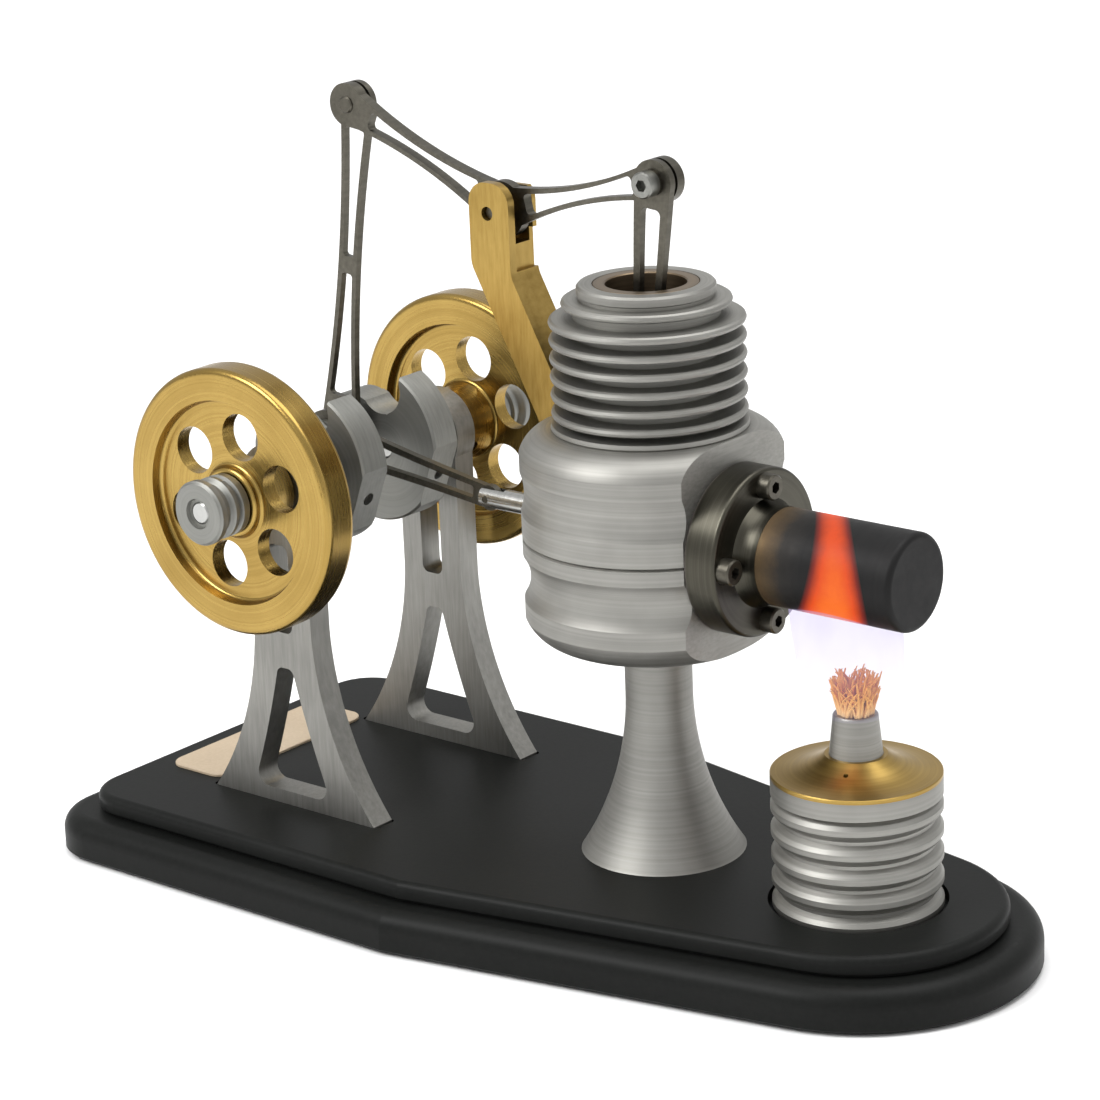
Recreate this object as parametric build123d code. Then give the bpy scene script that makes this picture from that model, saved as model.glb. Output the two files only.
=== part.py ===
"""Balance-beam hot-air (Stirling) engine model on a black base.

Frame: millimetres, +Z up, origin at the centre of the base's underside.
+X runs along the base from the flywheels to the burner, +Y across it.
A horizontal displacer in the hot tube and a vertical power piston in the
finned cylinder share one crank pin, the piston through a rocking beam.
"""
from build123d import *
from math import asin, atan2, cos, degrees, hypot, pi, radians, sin, sqrt
import os

# ---------------------------------------------------------------- driving dimensions
# base
BASE_LENGTH = 230.0
BASE_WIDTH = 112.0
BASE_TOP = 14.3
BASE_BOTTOM = 0.5
SLAB_TOP = 9.7
SLAB_ROUND = 4.2
GROOVE_TOP = 10.7
PLATE_INSET = 7.0
GROOVE_INSET = 8.0
PLATE_ROUND = 1.8
BASE_CORNER = 14.6
BEND_X = -9.2
END_RADIUS = 38.3

# crankshaft, stands and flywheels (the shaft runs along Y)
CRANK_X = -59.05
CRANK_Z = 89.6
SHAFT_R = 2.5
SHAFT_END_Y = 51.4
STAND_INNER_Y = 22.4
STAND_THICK = 6.1
STAND_FOOT_HALF = 24.3
STAND_WAIST_HALF = 8.7
STAND_TOP_R = 9.8
SLOT_DEPTH = 4.0
BEARING_R = 6.5
BEARING_W = 5.0
WEB_INNER_Y = 7.8
WEB_THICK = 8.2
WEB_R = 18.4
WEB_SHIFT = 2.8
WEB_FLAT = 13.9
WEB_EDGE = 1.2
PIN_LOBE_R = 8.2
THROW = 10.0
PIN_ANGLE = 159.0
PIN_R = 2.0
FLYWHEEL_R = 30.0
FLYWHEEL_Y = 34.6
FLYWHEEL_W = 8.3
RIM_INNER_R = 22.5
FLYWHEEL_HOLE_R = 5.3
FLYWHEEL_HOLE_PITCH_R = 15.0
PULLEY_R = 7.2
PULLEY_Y = 42.9
PULLEY_W = 9.2

# engine body, cylinder and pedestal (one vertical axis)
CYL_X = 24.92
BODY_R = 28.0
BODY_BOTTOM = 58.2
BODY_TOP = 109.5
FLAT_X = 46.5
CYL_TOP = 140.3
BORE_R = 8.6
LINER_R = 11.3
LINER_BOTTOM = 99.6
FIN_R = 20.76
FIN_Z = 113.0
FIN_PITCH = 3.9
FIN_COUNT = 6
FIN_THICK = 1.7
FIN_ROOT_R = 15.5
PEDESTAL_FOOT_R = 18.0
PEDESTAL_NECK_R = 7.3
PEDESTAL_FLARE_R = 65.0

# hot end (axis along X)
TUBE_Z = 86.2
TUBE_R = 10.4
TUBE_WALL = 0.9
TUBE_END_X = 91.9
FLANGE_R = 18.0
FLANGE_FACE_X = 54.2
GASKET_THICK = 0.5
FLANGE_SCREW_PCR = 14.5
DISPLACER_R = 9.0
DISPLACER_X0 = 14.0
DISPLACER_X1 = 70.3
CHAMBER_R = 9.5
CHAMBER_X0 = 13.0
ROD_R = 2.35
GLAND_POCKET_X = 4.0
FORK_X = -20.3

# balance beam and its rods
PIVOT_X = -13.9
PIVOT_Z = 151.3
LEFT_X = -57.4
LEFT_Z = 170.0
RIGHT_X = 29.1
RIGHT_Z = 162.0
WRIST_Z = 118.0
BEAM_Y0 = 0.2
BEAM_Y1 = 2.6
PISTON_ROD_Y0 = -2.2
PISTON_ROD_Y1 = -0.6
BEAM_ROD_Y0 = 3.4
BEAM_ROD_Y1 = 5.0
LINK_Y0 = -0.8
LINK_Y1 = 0.8
PIVOT_PIN_R = 1.5
HUB_R = 4.8
BEAM_HUB_R = 6.2

# brass column that carries the beam
COLUMN_X0 = -18.9
COLUMN_X1 = -8.0
COLUMN_Y0 = -4.6
COLUMN_Y1 = 4.65
CLEVIS_Y0 = -2.5
CLEVIS_Y1 = 3.4
CLEVIS_Z = 144.6
COLUMN_BEND_Z = 139.9
COLUMN_FOOT_Z = 104.9
COLUMN_SLOPE = 0.526

# burner
BURNER_X = 76.3
BURNER_R = 18.0
BURNER_Z0 = 11.7
BURNER_TOP = 42.0
LID_EDGE = 0.9
BOSS_TOP = 46.6
BOSS_R = 6.6
RIB_COUNT = 5
RIB_Z = 14.1
RIB_PITCH = 5.35
RIB_R = 18.0
RECESS_R = 19.0
WICK_TUBE_TOP = 55.4

FIT = 0.02
RUN = 0.05

pin_x = CRANK_X + THROW * cos(radians(PIN_ANGLE))
pin_z = CRANK_Z + THROW * sin(radians(PIN_ANGLE))


# ---------------------------------------------------------------- helpers
def tube_y(x, z, r, y0, y1, bore=0.0):
    """A round bar along Y, or a ring if it has a bore."""
    plane = Plane(origin=(x, y0, z), x_dir=(1, 0, 0), z_dir=(0, 1, 0))
    bar = extrude(plane * Circle(r), y1 - y0)
    if bore > 0:
        bar -= extrude(plane * Circle(bore), y1 - y0)
    return bar


def tube_x(x0, x1, r, bore=0.0, y=0.0, z=TUBE_Z):
    plane = Plane(origin=(x0, y, z), x_dir=(0, 1, 0), z_dir=(1, 0, 0))
    bar = extrude(plane * Circle(r), x1 - x0)
    if bore > 0:
        bar -= extrude(plane * Circle(bore), x1 - x0)
    return bar


def tube_z(x, y, z0, z1, r, bore=0.0):
    bar = Pos(x, y, z0) * extrude(Circle(r), z1 - z0)
    if bore > 0:
        bar -= Pos(x, y, z0) * extrude(Circle(bore), z1 - z0)
    return bar


def plate_xz(face, y0, y1):
    """Extrude an outline drawn in X and Z between two Y planes."""
    plane = Plane(origin=(0, y0, 0), x_dir=(1, 0, 0), z_dir=(0, -1, 0))
    return extrude(plane * face, -(y1 - y0))


def turned_z(points, x, y=0.0):
    """Turn a closed (radius, height) outline about a vertical axis."""
    outline = Plane.XZ * make_face(Polyline(*points, close=True))
    return Pos(x, y, 0) * revolve(outline, Axis.Z)


def turned_y(points, x, z):
    """Turn a closed (radius, y) outline about an axis along Y."""
    outline = make_face(Polyline(*points, close=True))
    return Pos(x, 0, z) * revolve(outline, Axis.Y)


def mirrored(shape):
    return mirror(shape, Plane.XZ)


def cap_screw(head_r, head_h, shank_r, length):
    """Socket-head screw: seat at z=0, head up, shank down."""
    screw = extrude(Circle(head_r), head_h)
    screw = chamfer(screw.edges().group_by(Axis.Z)[-1], head_r * 0.12)
    screw += Pos(0, 0, -length) * extrude(Circle(shank_r), length)
    return screw - Pos(0, 0, head_h * 0.4) * extrude(RegularPolygon(head_r * 0.48, 6), head_h)


def set_screw(r, length):
    """Headless screw along +Z from 0 to length, hexagon socket at the top."""
    screw = extrude(Circle(r), length)
    return screw - Pos(0, 0, length * 0.55) * extrude(RegularPolygon(r * 0.55, 6), length)


def along(point, direction):
    """Location that turns +Z towards a direction."""
    return Plane(origin=point, z_dir=direction).location


def between(a, b, t, offset):
    """Point at a fraction t of the line a-b, offset to its left side."""
    length = hypot(b[0] - a[0], b[1] - a[1])
    ux, uz = (b[0] - a[0]) / length, (b[1] - a[1]) / length
    return (a[0] + ux * length * t - uz * offset, a[1] + uz * length * t + ux * offset)


def waisted_arm(a, b, ra, rb, waist, at, rim, slot_a, slot_b):
    """Flat arm from hub a to hub b: two thin curved struts round a long window."""
    length = hypot(b[0] - a[0], b[1] - a[1])
    ta, tb = 0.0, 1.0
    outer = [
        Line(between(a, b, ta, ra), between(a, b, ta, -ra)),
        ThreePointArc(between(a, b, ta, -ra), between(a, b, at, -waist), between(a, b, tb, -rb)),
        Line(between(a, b, tb, -rb), between(a, b, tb, rb)),
        ThreePointArc(between(a, b, tb, rb), between(a, b, at, waist), between(a, b, ta, ra)),
    ]
    arm = make_face(Wire(outer))

    def half_width(t):
        side = ra if t < at else rb
        reach = at if t < at else 1 - at
        return waist + (side - waist) * (abs(t - at) / reach) ** 2 - rim
    s0, s1 = slot_a / length, 1 - slot_b / length
    w0, w1, wm = half_width(s0), half_width(s1), waist - rim
    window = [
        Line(between(a, b, s0, w0), between(a, b, s0, -w0)),
        ThreePointArc(between(a, b, s0, -w0), between(a, b, at, -wm), between(a, b, s1, -w1)),
        Line(between(a, b, s1, -w1), between(a, b, s1, w1)),
        ThreePointArc(between(a, b, s1, w1), between(a, b, at, wm), between(a, b, s0, w0)),
    ]
    hole = make_face(Wire(window))
    hole = fillet(hole.vertices(), min(w0, w1) * 0.45)
    return arm - hole


# ---------------------------------------------------------------- base
def base_outline(inset):
    """Plan of the base: square end with round corners, tapering to a round end."""
    end_x = BASE_LENGTH / 2 - END_RADIUS
    half = BASE_WIDTH / 2
    reach = hypot(end_x - BEND_X, half)
    taper = atan2(half, end_x - BEND_X) - asin(END_RADIUS / reach)
    normal = (sin(taper), cos(taper))
    r = END_RADIUS - inset
    tangent = (end_x + r * normal[0], r * normal[1])
    side = half - inset
    bend = (end_x + (r - side * normal[1]) / normal[0], side)
    left = -BASE_LENGTH / 2 + inset
    corner = BASE_CORNER - 0.5 * inset
    edges = [
        Line((left, corner - side), (left, side - corner)),
        CenterArc((left + corner, side - corner), corner, 180, -90),
        Line((left + corner, side), bend),
        Line(bend, tangent),
        ThreePointArc(tangent, (end_x + r, 0), (tangent[0], -tangent[1])),
        Line((tangent[0], -tangent[1]), (bend[0], -side)),
        Line((bend[0], -side), (left + corner, -side)),
        CenterArc((left + corner, corner - side), corner, 270, -90),
    ]
    return make_face(Wire(edges))


def base():
    slab = Pos(0, 0, BASE_BOTTOM) * extrude(base_outline(0), SLAB_TOP - BASE_BOTTOM)
    slab = fillet(slab.edges().group_by(Axis.Z)[-1], SLAB_ROUND)
    slab = chamfer(slab.edges().group_by(Axis.Z)[0], 0.8)
    groove = Pos(0, 0, SLAB_TOP - 1) * extrude(base_outline(GROOVE_INSET), GROOVE_TOP - SLAB_TOP + 1.5)
    plate = Pos(0, 0, GROOVE_TOP) * extrude(base_outline(PLATE_INSET), BASE_TOP - GROOVE_TOP)
    plate = fillet(plate.edges().group_by(Axis.Z)[-1], PLATE_ROUND)
    block = slab + groove + plate
    for side in (-1, 1):
        y = side * (STAND_INNER_Y + STAND_THICK / 2)
        slot = RectangleRounded(2 * STAND_FOOT_HALF + 2.2, STAND_THICK + 0.2, 1.0)
        block -= Pos(CRANK_X, y, BASE_TOP - SLOT_DEPTH) * extrude(slot, SLOT_DEPTH + 1)
        for dx in (-15, 15):
            block -= tube_z(CRANK_X + dx, y, 0, BASE_TOP, 1.6)
            block -= tube_z(CRANK_X + dx, y, 0, 4.2, 3.4)
    block -= tube_z(BURNER_X, 0, BURNER_Z0, BASE_TOP + 1, RECESS_R)
    block -= tube_z(CYL_X, 0, 0, BASE_TOP + 1, 3.1)
    block -= tube_z(CYL_X, 0, 0, 6.0, 5.6)
    for x, y in foot_places():
        block -= tube_z(x, y, 0, 2.0, 6.1)
    return block


def foot_places():
    return [(-98, -40), (-98, 40), (20, -41), (20, 41), (104, 0)]


def base_feet():
    pads = []
    for x, y in foot_places():
        pad = tube_z(x, y, 0, 2.0, 6.0)
        pads.append(chamfer(pad.edges().group_by(Axis.Z)[0], 0.3))
    return Compound(children=pads)


def name_plate():
    plate = Pos(-93.25, -0.9, BASE_TOP) * extrude(RectangleRounded(17.5, 49.5, 4), 0.6)
    return chamfer(plate.edges().group_by(Axis.Z)[-1], 0.15)


# ---------------------------------------------------------------- stands
def stand_near():
    """A-frame plate with flared feet, two windows and a bearing eye."""
    top = CRANK_Z - BASE_TOP
    foot, waist, r = STAND_FOOT_HALF, STAND_WAIST_HALF, STAND_TOP_R
    start = sqrt(r * r - waist * waist)
    edges = [
        Line((-foot, -SLOT_DEPTH), (foot, -SLOT_DEPTH)),
        Line((foot, -SLOT_DEPTH), (foot, 0)),
        ThreePointArc((foot, 0), (13.7, 18.5), (waist, 42)),
        Line((waist, 42), (waist, top - start)),
        ThreePointArc((waist, top - start), (0, top + r), (-waist, top - start)),
        Line((-waist, top - start), (-waist, 42)),
        ThreePointArc((-waist, 42), (-13.7, 18.5), (-foot, 0)),
        Line((-foot, 0), (-foot, -SLOT_DEPTH)),
    ]
    outline = make_face(Wire(edges))
    lower = make_face(Wire([
        Line((-11.8, 3.2), (11.8, 3.2)),
        ThreePointArc((11.8, 3.2), (6.5, 18), (2.2, 33)),
        Line((2.2, 33), (-2.2, 33)),
        ThreePointArc((-2.2, 33), (-6.5, 18), (-11.8, 3.2)),
    ]))
    by_height = lower.vertices().group_by(Axis.Y)
    lower = fillet(by_height[-1], 1.8)
    lower = fillet(lower.vertices().group_by(Axis.Y)[0], 3.0)
    upper = Pos(0, 51.7) * RectangleRounded(6.0, 20.6, 1.8)
    eye = Pos(0, top) * Circle(BEARING_R + FIT)
    outline = outline - lower - upper - eye
    y0 = -STAND_INNER_Y - STAND_THICK
    stand = Pos(CRANK_X, 0, BASE_TOP) * plate_xz(outline, y0, -STAND_INNER_Y)
    for dx in (-15, 15):
        stand -= tube_z(CRANK_X + dx, y0 + STAND_THICK / 2, 0, BASE_TOP + 1.5, 1.5)
    return stand


def stand_screws():
    screws = []
    for side in (-1, 1):
        y = side * (STAND_INNER_Y + STAND_THICK / 2)
        for dx in (-15, 15):
            screw = cap_screw(2.9, 2.6, 1.48, 11.2)
            screws.append(Pos(CRANK_X + dx, y, 4.2) * Rot(180, 0, 0) * screw)
    return Compound(children=screws)


def bearing_rings(outer, inner, y_list, width):
    rings = [tube_y(CRANK_X, CRANK_Z, outer, y - width / 2, y + width / 2, inner) for y in y_list]
    return Compound(children=[chamfer(ring.edges().filter_by(GeomType.CIRCLE), 0.25) for ring in rings])


def bearing_y():
    middle = STAND_INNER_Y + STAND_THICK / 2
    return [-middle, middle]


def bearing_outer_rings():
    return bearing_rings(BEARING_R, 5.4, bearing_y(), BEARING_W)


def bearing_inner_rings():
    return bearing_rings(3.6, SHAFT_R + FIT, bearing_y(), BEARING_W)


def bearing_balls():
    balls = []
    for y in bearing_y():
        for k in range(8):
            a = 2 * pi * k / 8
            balls.append(Pos(CRANK_X + 4.5 * cos(a), y, CRANK_Z + 4.5 * sin(a)) * Sphere(0.85))
    return Compound(children=balls)


# ---------------------------------------------------------------- crankshaft
def crank_shaft_near():
    shaft = tube_y(CRANK_X, CRANK_Z, SHAFT_R, -SHAFT_END_Y, -WEB_INNER_Y - 0.6)
    return chamfer(shaft.edges().filter_by(GeomType.CIRCLE), 0.4)


def crank_web_near():
    """Eccentric disc cut back to a lobe round the pin, with scallops and a clamping flat."""
    a = radians(PIN_ANGLE)
    x, z = CRANK_X + WEB_SHIFT * cos(a), CRANK_Z + WEB_SHIFT * sin(a)
    y0, y1 = -WEB_INNER_Y - WEB_THICK, -WEB_INNER_Y
    hub = Pos(CRANK_X, (y0 + y1) / 2, CRANK_Z)
    toward_pin = hub * Rot(0, -PIN_ANGLE, 0)
    web = tube_y(x, z, WEB_R, y0, y1)
    web = chamfer(web.edges().filter_by(GeomType.CIRCLE), 0.5)
    web -= toward_pin * Pos(WEB_EDGE + 20, 0, 0) * Box(40, WEB_THICK + 2, 60)
    lobe = tube_y(pin_x, pin_z, PIN_LOBE_R, y0, y1)
    web += chamfer(lobe.edges().filter_by(GeomType.CIRCLE), 0.5)
    web += toward_pin * Pos(THROW / 2, 0, 0) * Box(THROW, WEB_THICK, 2 * PIN_LOBE_R)
    for turn in (-69.4, 69.4):
        b = radians(PIN_ANGLE + turn)
        web -= tube_y(CRANK_X + 14.0 * cos(b), CRANK_Z + 14.0 * sin(b), 5.9, y0 - 1, y1 + 1)
        mouth = hub * Rot(0, -(PIN_ANGLE + turn), 0) * Pos(19, 0, 0)
        web -= mouth * Box(10, WEB_THICK + 2, 11.5)
    flat = hub * Rot(0, -(PIN_ANGLE + 180), 0) * Pos(WEB_FLAT + 10, 0, 0)
    web -= flat * Box(20, WEB_THICK + 2, 50)
    web -= tube_y(CRANK_X, CRANK_Z, SHAFT_R + FIT, y0 - 1, y1 + 1)
    web -= tube_y(pin_x, pin_z, PIN_R + FIT, y0 - 1, y1 + 1)
    return web - web_screw_place() * extrude(Circle(1.52), 20)


def web_screw_place():
    a = radians(PIN_ANGLE + 180)
    start = (CRANK_X + 4.0 * cos(a), -WEB_INNER_Y - WEB_THICK / 2, CRANK_Z + 4.0 * sin(a))
    return along(start, (cos(a), 0, sin(a)))


def web_set_screws():
    screw = web_screw_place() * set_screw(1.5, 8.6)
    return Compound(children=[screw, mirrored(screw)])


def crank_pin_stubs():
    outer = WEB_INNER_Y + WEB_THICK - 0.3
    near = tube_y(pin_x, pin_z, PIN_R, -outer, LINK_Y0 - 1.9)
    far = tube_y(pin_x, pin_z, PIN_R, BEAM_ROD_Y1 + 0.7, outer)
    return Compound(children=[near, far])


def shaft_spacers():
    inner = bearing_y()[1] - BEARING_W / 2
    ring = tube_y(CRANK_X, CRANK_Z, 3.7, -inner, -WEB_INNER_Y - WEB_THICK, SHAFT_R + FIT)
    return Compound(children=[ring, mirrored(ring)])


def flywheel_near():
    """Brass wheel: rounded rim, thin pierced disc and a long hub."""
    outer, inner = FLYWHEEL_Y + FLYWHEEL_W, FLYWHEEL_Y
    disc0, disc1 = inner + 2.4, outer - 2.3
    hub0 = bearing_y()[1] + BEARING_W / 2
    nose = STAND_INNER_Y + STAND_THICK + 0.3
    bore = SHAFT_R + FIT
    profile = [
        (bore, -hub0), (3.6, -hub0), (3.6, -nose), (6.4, -nose), (7.4, -nose - 0.8), (9.0, -disc0),
        (RIM_INNER_R, -disc0),
        (RIM_INNER_R + 0.5, -inner), (FLYWHEEL_R, -inner), (FLYWHEEL_R, -outer),
        (RIM_INNER_R + 0.5, -outer), (RIM_INNER_R, -disc1), (8.2, -disc1), (7.7, -outer + 0.4),
        (bore, -outer + 0.4),
    ]
    wheel = turned_y(profile, CRANK_X, CRANK_Z)
    rim = [e for e in wheel.edges().filter_by(GeomType.CIRCLE) if abs(e.radius - FLYWHEEL_R) < 0.01]
    wheel = fillet(rim, 1.4)
    roots = [e for e in wheel.edges().filter_by(GeomType.CIRCLE)
             if abs(e.radius - RIM_INNER_R) < 0.01 or 7.5 < e.radius < 9.1]
    wheel = fillet(roots, 0.9)
    for k in range(6):
        a = radians(60 * k + 19)
        x = CRANK_X + FLYWHEEL_HOLE_PITCH_R * cos(a)
        z = CRANK_Z + FLYWHEEL_HOLE_PITCH_R * sin(a)
        wheel -= tube_y(x, z, FLYWHEEL_HOLE_R, -outer - 1, -inner + 1)
    return wheel - flywheel_screw_place() * extrude(Circle(1.52), 12)


def flywheel_screw_place():
    start = (CRANK_X, -bearing_y()[1] - BEARING_W / 2 - 3.2, CRANK_Z)
    a = radians(-35)
    return along((start[0] + SHAFT_R * cos(a), start[1], start[2] + SHAFT_R * sin(a)), (cos(a), 0, sin(a)))


def flywheel_set_screws():
    screw = flywheel_screw_place() * set_screw(1.5, 3.4)
    return Compound(children=[screw, mirrored(screw)])


def pulley_near():
    """Grooved drive pulley: front flange, belt groove, ridge and rear flange."""
    y0 = PULLEY_Y
    r = PULLEY_R
    face = y0 + PULLEY_W
    profile = [
        (SHAFT_R + FIT, y0), (r - 0.4, y0), (r - 0.3, y0 + 1.8), (r - 1.1, y0 + 2.2),
        (r - 1.1, y0 + 2.9), (r - 0.3, y0 + 3.3), (r - 0.3, y0 + 4.2), (r - 1.4, y0 + 5.0),
        (r - 1.4, y0 + 6.0), (r - 0.2, y0 + 6.9), (r, y0 + 7.2), (r, face - 0.6), (r - 0.6, face),
        (3.4, face),
        (3.2, face - 0.9), (SHAFT_R + FIT, face - 0.9),
    ]
    pulley = turned_y([(radius, -y) for radius, y in profile], CRANK_X, CRANK_Z)
    return pulley - pulley_screw_place() * extrude(Circle(1.02), 8)


def pulley_screw_place():
    a = radians(250)
    y = -(PULLEY_Y + 5.5)
    return along((CRANK_X + SHAFT_R * cos(a), y, CRANK_Z + SHAFT_R * sin(a)), (cos(a), 0, sin(a)))


def pulley_set_screws():
    screw = pulley_screw_place() * set_screw(1.0, 3.6)
    return Compound(children=[screw, mirrored(screw)])


# ---------------------------------------------------------------- pedestal, body and cylinder
def pedestal():
    """Trumpet-shaped foot turned from solid."""
    flare = PEDESTAL_FLARE_R
    drop = sqrt(flare ** 2 - (flare - (PEDESTAL_FOOT_R - 0.3 - PEDESTAL_NECK_R)) ** 2)
    z0 = BASE_TOP + 0.4
    start_z = z0 + drop
    mid = (PEDESTAL_NECK_R + flare * (1 - cos(asin(drop / 2 / flare))), start_z - drop / 2)
    outline = make_face(Wire([
        Line((0, BASE_TOP), (PEDESTAL_FOOT_R, BASE_TOP)),
        Line((PEDESTAL_FOOT_R, BASE_TOP), (PEDESTAL_FOOT_R - 0.3, z0)),
        ThreePointArc((PEDESTAL_FOOT_R - 0.3, z0), mid, (PEDESTAL_NECK_R, start_z)),
        Line((PEDESTAL_NECK_R, start_z), (PEDESTAL_NECK_R, BODY_BOTTOM)),
        Line((PEDESTAL_NECK_R, BODY_BOTTOM), (0, BODY_BOTTOM)),
        Line((0, BODY_BOTTOM), (0, BASE_TOP)),
    ]))
    foot = Pos(CYL_X, 0, 0) * revolve(Plane.XZ * outline, Axis.Z)
    foot -= tube_z(CYL_X, 0, BASE_TOP - 1, BASE_TOP + 12, 2.52)
    return foot - tube_z(CYL_X, 0, BODY_BOTTOM - 9, BODY_BOTTOM + 1, 3.02)


def pedestal_screw():
    return Pos(CYL_X, 0, 6.0) * Rot(180, 0, 0) * cap_screw(4.25, 4.0, 2.5, 19.5)


def pedestal_stud():
    stud = tube_z(CYL_X, 0, BODY_BOTTOM - 8.8, BODY_BOTTOM + 8.8, 3.0)
    return chamfer(stud.edges().filter_by(GeomType.CIRCLE), 0.5)


def engine_body():
    """Turned aluminium body with two scooped bands, domed underside and a side flat."""
    r = BODY_R
    outline = make_face(Wire([
        Line((0, BODY_BOTTOM), (8.4, BODY_BOTTOM)),
        Line((8.4, BODY_BOTTOM), (21.3, 62.9)),
        ThreePointArc((21.3, 62.9), (25.6, 65.1), (r, 68.5)),
        Line((r, 68.5), (r, 72.5)),
        ThreePointArc((r, 72.5), (r - 1.5, 77.5), (r, 82.5)),
        Line((r, 82.5), (r, 85.7)),
        Line((r, 85.7), (r - 0.7, 86.1)),
        Line((r - 0.7, 86.1), (r, 86.5)),
        Line((r, 86.5), (r, 91.7)),
        ThreePointArc((r, 91.7), (r - 0.8, 96.2), (r, 100.7)),
        Line((r, 100.7), (r, 104.5)),
        ThreePointArc((r, 104.5), (25.9, 107.7), (22.0, BODY_TOP)),
        Line((22.0, BODY_TOP), (0, BODY_TOP)),
        Line((0, BODY_TOP), (0, BODY_BOTTOM)),
    ]))
    body = Pos(CYL_X, 0, 0) * revolve(Plane.XZ * outline, Axis.Z)
    body -= Pos(FLAT_X + 20, 0, 80) * Box(40, 80, 80)
    body -= tube_x(CHAMBER_X0, FLAT_X + 1, CHAMBER_R)
    body -= tube_x(-10, GLAND_POCKET_X, 5.0)
    body -= tube_x(-10, CHAMBER_X0 + 1, 4.02)
    body -= tube_z(CYL_X, 0, LINER_BOTTOM, BODY_TOP + 1, LINER_R + FIT)
    body -= tube_z(CYL_X, 0, TUBE_Z, BODY_TOP, 4.5)
    body -= tube_z(CYL_X, 0, BODY_BOTTOM - 1, BODY_BOTTOM + 9, 3.02)
    for place in flange_screw_places(FLAT_X - 9):
        body -= place * extrude(Circle(1.52), 12)
    body -= column_seat()
    body -= tube_z(COLUMN_PEG_X, 0, COLUMN_FOOT_Z - 8.2, COLUMN_FOOT_Z + 1, 1.72)
    return body - column_screw_place() * extrude(Circle(1.27), 12)


def finned_cylinder():
    """Stack of turned fins with a stepped top."""
    r0 = LINER_R + FIT
    points = [(r0, BODY_TOP), (20.8, BODY_TOP), (21.0, BODY_TOP + 0.3), (20.8, BODY_TOP + 1.2),
              (FIN_ROOT_R, BODY_TOP + 1.6)]
    for k in range(FIN_COUNT + 1):
        z = FIN_Z + FIN_PITCH * k
        fin_r = FIN_R if k < FIN_COUNT else 18.0
        half = FIN_THICK / 2
        points += [(FIN_ROOT_R, z - half), (fin_r - 0.7, z - half), (fin_r - 0.2, z - half + 0.3),
                   (fin_r, z), (fin_r - 0.2, z + half - 0.3), (fin_r - 0.7, z + half),
                   (FIN_ROOT_R, z + half)]
    points += [(14.2, 137.3), (14.2, 138.0), (14.65, 138.3), (14.65, CYL_TOP - 0.5), (14.2, CYL_TOP),
               (r0, CYL_TOP)]
    return turned_z(points, CYL_X)


def cylinder_liner():
    liner = tube_z(CYL_X, 0, LINER_BOTTOM, CYL_TOP, LINER_R, BORE_R)
    return chamfer(liner.edges().group_by(Axis.Z)[-1], 0.25)


# ---------------------------------------------------------------- column
COLUMN_PEG_X = COLUMN_X0 + (COLUMN_BEND_Z - COLUMN_FOOT_Z) * COLUMN_SLOPE + 2.3
COLUMN_TRIM_R = FIN_R + 0.5


def column_outline():
    x0, x1 = COLUMN_X0, COLUMN_X1
    lean = COLUMN_SLOPE * (COLUMN_BEND_Z - COLUMN_FOOT_Z)
    low = COLUMN_BEND_Z - 1.7
    lean_low = COLUMN_SLOPE * (low - COLUMN_FOOT_Z)
    top = PIVOT_Z + 6.7
    face = make_face(Polyline(
        (x0, COLUMN_BEND_Z), (x0 + lean, COLUMN_FOOT_Z), (x1 + lean_low, COLUMN_FOOT_Z),
        (x1, low), (x1, top), (x0, top), close=True))
    bends = [v for v in face.vertices() if low - 0.1 < v.Y < COLUMN_BEND_Z + 0.1]
    face = fillet(bends, 6.0)
    return fillet(face.vertices().group_by(Axis.Y)[-1], 4.6)


def support_column():
    """Brass bar: upright clevis for the beam, bent down to the body's shoulder."""
    bar = plate_xz(column_outline(), COLUMN_Y0, COLUMN_Y1)
    gap = CLEVIS_Y1 - CLEVIS_Y0
    slot = Pos(PIVOT_X, (CLEVIS_Y0 + CLEVIS_Y1) / 2, CLEVIS_Z + 20)
    bar -= slot * Box(30, gap, 40)
    depth = 1.1
    relief_z = (CLEVIS_Z + COLUMN_BEND_Z) / 2
    relief = Pos(COLUMN_X1, (CLEVIS_Y0 + COLUMN_Y1) / 2 + 0.5, relief_z + 1)
    bar -= relief * Box(2 * depth, COLUMN_Y1 - CLEVIS_Y0 + 1, CLEVIS_Z - COLUMN_BEND_Z + 4)
    bar -= tube_y(PIVOT_X, PIVOT_Z, PIVOT_PIN_R + FIT, COLUMN_Y0 - 1, COLUMN_Y1 + 1)
    bar -= Pos(PIVOT_X, CLEVIS_Y1 + 5, PIVOT_Z + 5.2 + 5) * Box(30, 10, 10)
    bar -= tube_z(CYL_X, 0, COLUMN_FOOT_Z - 1, CYL_TOP + 2, COLUMN_TRIM_R)
    return bar + tube_z(COLUMN_PEG_X, 0, COLUMN_FOOT_Z - 8, COLUMN_FOOT_Z + 1, 1.7)


def column_seat():
    """Room milled into the body's shoulder for the foot of the column."""
    width = COLUMN_Y1 - COLUMN_Y0 + 0.6
    inner = CYL_X - COLUMN_TRIM_R + 0.8
    return Pos(inner - 10, 0, COLUMN_FOOT_Z + 5) * Box(20, width, 10)


def column_screw_place():
    return along((COLUMN_PEG_X - 1.7, 0, COLUMN_FOOT_Z - 4.9), (-1, 0, 0))


def column_set_screw():
    return column_screw_place() * set_screw(1.25, 2.3)


def beam_pivot_pin():
    pin = tube_y(PIVOT_X, PIVOT_Z, PIVOT_PIN_R, COLUMN_Y0 + 1.2, COLUMN_Y1 - 0.1)
    return chamfer(pin.edges().filter_by(GeomType.CIRCLE), 0.25)


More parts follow.
